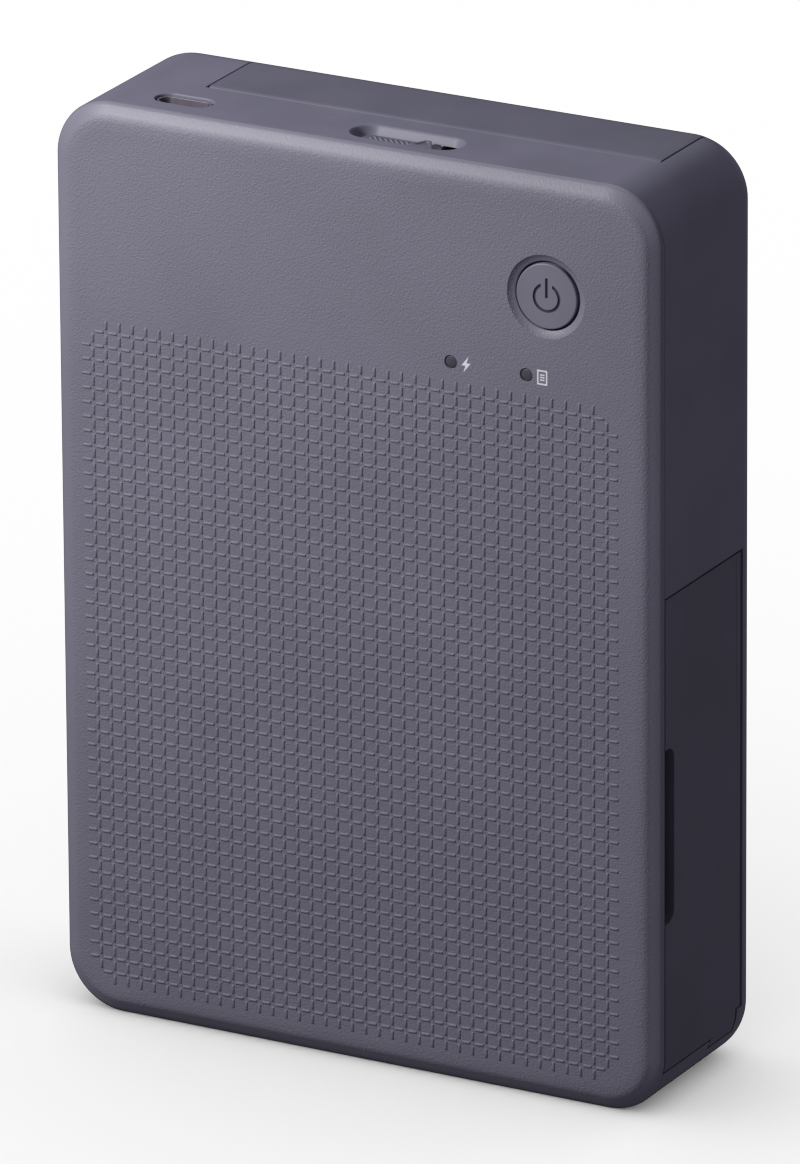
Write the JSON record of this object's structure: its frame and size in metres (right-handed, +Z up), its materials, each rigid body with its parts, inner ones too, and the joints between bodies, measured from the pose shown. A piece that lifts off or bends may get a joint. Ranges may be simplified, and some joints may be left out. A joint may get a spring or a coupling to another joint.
{
  "type": "compact photo printer",
  "caption": "Upright pocket-size dye-film photo printer: ribbed front cover, rear cassette cover, side flap, top slide switch, power button, rollers and gear train inside.",
  "frame": {"origin": "middle of the bottom end the printer stands on, centred in width and in depth over its rubber feet", "axes": "+X to the right seen from the front, +Y towards the rear, +Z up along the body's length"},
  "size_m": [0.1022, 0.0334, 0.1458],
  "materials": {
    "cover_plastic": "fine leather-like grain, low sheen",
    "housing_plastic": "fine matt",
    "slider_plastic": "knurled matt",
    "latch_plastic": "moulded",
    "dark_lens": "smoked clear plastic",
    "sheet_steel": "zinc-plated sheet",
    "shaft_steel": "ground",
    "feed_steel": "grit-blasted roller face",
    "spring_steel": "drawn wire",
    "screw_steel": "plated",
    "motor_steel": "plated can",
    "socket_metal": "nickel plated",
    "pinion_brass": "turned",
    "heat_sink_aluminium": "extruded",
    "strip_ceramic": "glazed ceramic",
    "circuit_board": "solder mask",
    "component_black": "moulded epoxy",
    "led_white": "clear cap",
    "battery_wrap": "shrink film",
    "bush_plastic": "moulded",
    "gear_plastic": "moulded acetal",
    "cassette_plastic": "moulded",
    "spool_plastic": "wound film",
    "ribbon_film": "thin dyed film",
    "photo_paper": "satin paper",
    "flex_cable": "flat film cable",
    "roller_rubber": "ground",
    "foot_rubber": "moulded"
  },
  "bodies": {
    "housing": {"front_cover": "cover_plastic", "mid_housing": "housing_plastic", "left_plate": "sheet_steel", "right_plate": "sheet_steel", "cross_plate": "sheet_steel", "motor_bracket": "sheet_steel", "main_board": "circuit_board", "board_components": "component_black", "board_screws": "screw_steel", "chassis_screws": "screw_steel", "usb_shell": "socket_metal", "usb_tongue": "component_black", "tact_switch": "component_black", "indicator_leds": "led_white", "light_guides": "dark_lens", "battery_pack": "battery_wrap", "stepper_motor": "motor_steel", "roller_bushes": "bush_plastic", "idler_pins": "shaft_steel", "cover_hinge_pins": "shaft_steel", "flap_hinge_pins": "shaft_steel", "cassette_case": "cassette_plastic", "paper_stack": "photo_paper", "pressure_plate": "sheet_steel", "pressure_springs": "spring_steel", "ribbon_film": "ribbon_film", "lower_flex_cable": "flex_cable", "latch_spring": "spring_steel"},
    "rear_cover": {"rear_cover": "housing_plastic", "rubber_feet": "foot_rubber", "head_bracket": "sheet_steel", "head_pivot_pin": "shaft_steel", "head_springs": "spring_steel", "upper_flex_cable": "flex_cable"},
    "print_head": {"head_heat_sink": "heat_sink_aluminium", "thermal_strip": "strip_ceramic"},
    "side_flap": {"side_flap": "housing_plastic"},
    "open_switch": {"switch_slider": "slider_plastic", "latch_bar": "latch_plastic"},
    "power_button": {"power_button": "cover_plastic"},
    "platen": {"platen_shaft": "shaft_steel", "platen_rubber": "roller_rubber", "platen_gear": "gear_plastic"},
    "feed_roller": {"feed_roller": "feed_steel", "feed_gear": "gear_plastic"},
    "pinch_roller": {"pinch_roller": "roller_rubber"},
    "pickup_roller": {"pickup_shaft": "shaft_steel", "pickup_tyres": "roller_rubber", "pickup_gear": "gear_plastic"},
    "motor_pinion": {"motor_pinion": "pinion_brass"},
    "reduction_gear": {"reduction_gear": "gear_plastic"},
    "feed_idler": {"feed_idler_gear": "gear_plastic"},
    "pickup_upper_idler": {"pickup_upper_idler": "gear_plastic"},
    "pickup_lower_idler": {"pickup_lower_idler": "gear_plastic"},
    "take_up": {"take_up_gear": "gear_plastic", "take_up_spool": "spool_plastic"},
    "supply_spool": {"supply_spool": "spool_plastic"}
  },
  "joints": [
    {"name": "cover_hinge", "type": "hinge", "parent": "housing", "child": "rear_cover", "pos_m": [0.0056, 0.0106, 0.00565], "axis": [-1, 0, 0], "range_deg": [0, 85]},
    {"name": "head_pivot", "type": "hinge", "parent": "rear_cover", "child": "print_head", "pos_m": [0.0056, 0.0113, 0.111], "axis": [-1, 0, 0], "range_deg": [0, 2], "stiffness_Nm_per_rad": 0.4, "springref_deg": -2.86},
    {"name": "flap_hinge", "type": "hinge", "parent": "housing", "child": "side_flap", "pos_m": [0.0502, 0.0097, 0.04], "axis": [0, 0, 1], "range_deg": [0, 85]},
    {"name": "switch_slide", "type": "slide", "parent": "housing", "child": "open_switch", "axis": [1, 0, 0], "range_m": [0, 0.0028], "stiffness_N_per_m": 400, "springref_m": -0.0005, "deforming": ["latch_spring"]},
    {"name": "button_press", "type": "slide", "parent": "housing", "child": "power_button", "axis": [0, 1, 0], "range_m": [0, 0.00045], "stiffness_N_per_m": 1500, "springref_m": -0.0001},
    {"name": "platen_spin", "type": "hinge", "parent": "housing", "child": "platen", "pos_m": [0.0056, -0.0061, 0.118], "axis": [1, 0, 0], "continuous": true},
    {"name": "feed_spin", "type": "hinge", "parent": "housing", "child": "feed_roller", "pos_m": [0.0056, -0.0046, 0.131], "axis": [1, 0, 0], "continuous": true},
    {"name": "pinch_spin", "type": "hinge", "parent": "housing", "child": "pinch_roller", "pos_m": [0.0056, 0.0003, 0.131], "axis": [1, 0, 0], "continuous": true},
    {"name": "pickup_spin", "type": "hinge", "parent": "housing", "child": "pickup_roller", "pos_m": [0.0056, -0.0059, 0.084], "axis": [1, 0, 0], "continuous": true},
    {"name": "motor_spin", "type": "hinge", "parent": "housing", "child": "motor_pinion", "pos_m": [-0.037, 0.00062, 0.09928], "axis": [1, 0, 0], "continuous": true},
    {"name": "reduction_spin", "type": "hinge", "parent": "housing", "child": "reduction_gear", "pos_m": [-0.036, 0.00062, 0.11128], "axis": [1, 0, 0], "continuous": true},
    {"name": "feed_idler_spin", "type": "hinge", "parent": "housing", "child": "feed_idler", "pos_m": [-0.035, 0.00069, 0.12534], "axis": [1, 0, 0], "continuous": true},
    {"name": "pickup_upper_spin", "type": "hinge", "parent": "housing", "child": "pickup_upper_idler", "pos_m": [-0.035, -0.00124, 0.1035], "axis": [1, 0, 0], "continuous": true},
    {"name": "pickup_lower_spin", "type": "hinge", "parent": "housing", "child": "pickup_lower_idler", "pos_m": [-0.035, -0.00132, 0.094], "axis": [1, 0, 0], "continuous": true},
    {"name": "take_up_spin", "type": "hinge", "parent": "housing", "child": "take_up", "pos_m": [0.0056, 0.0083, 0.13015], "axis": [1, 0, 0], "continuous": true},
    {"name": "supply_spin", "type": "hinge", "parent": "housing", "child": "supply_spool", "pos_m": [0.0056, 0.0077, 0.098], "axis": [1, 0, 0], "continuous": true}
  ],
  "couplings": [
    {"joint": "feed_spin", "follows": "platen_spin", "ratio": 1.6},
    {"joint": "pickup_spin", "follows": "platen_spin", "ratio": 1},
    {"joint": "motor_spin", "follows": "platen_spin", "ratio": 5.1429},
    {"joint": "reduction_spin", "follows": "platen_spin", "ratio": -1.7143},
    {"joint": "feed_idler_spin", "follows": "platen_spin", "ratio": -1.5},
    {"joint": "pickup_upper_spin", "follows": "platen_spin", "ratio": 1.3333},
    {"joint": "pickup_lower_spin", "follows": "platen_spin", "ratio": -1.2},
    {"joint": "take_up_spin", "follows": "platen_spin", "ratio": 1.2}
  ]
}
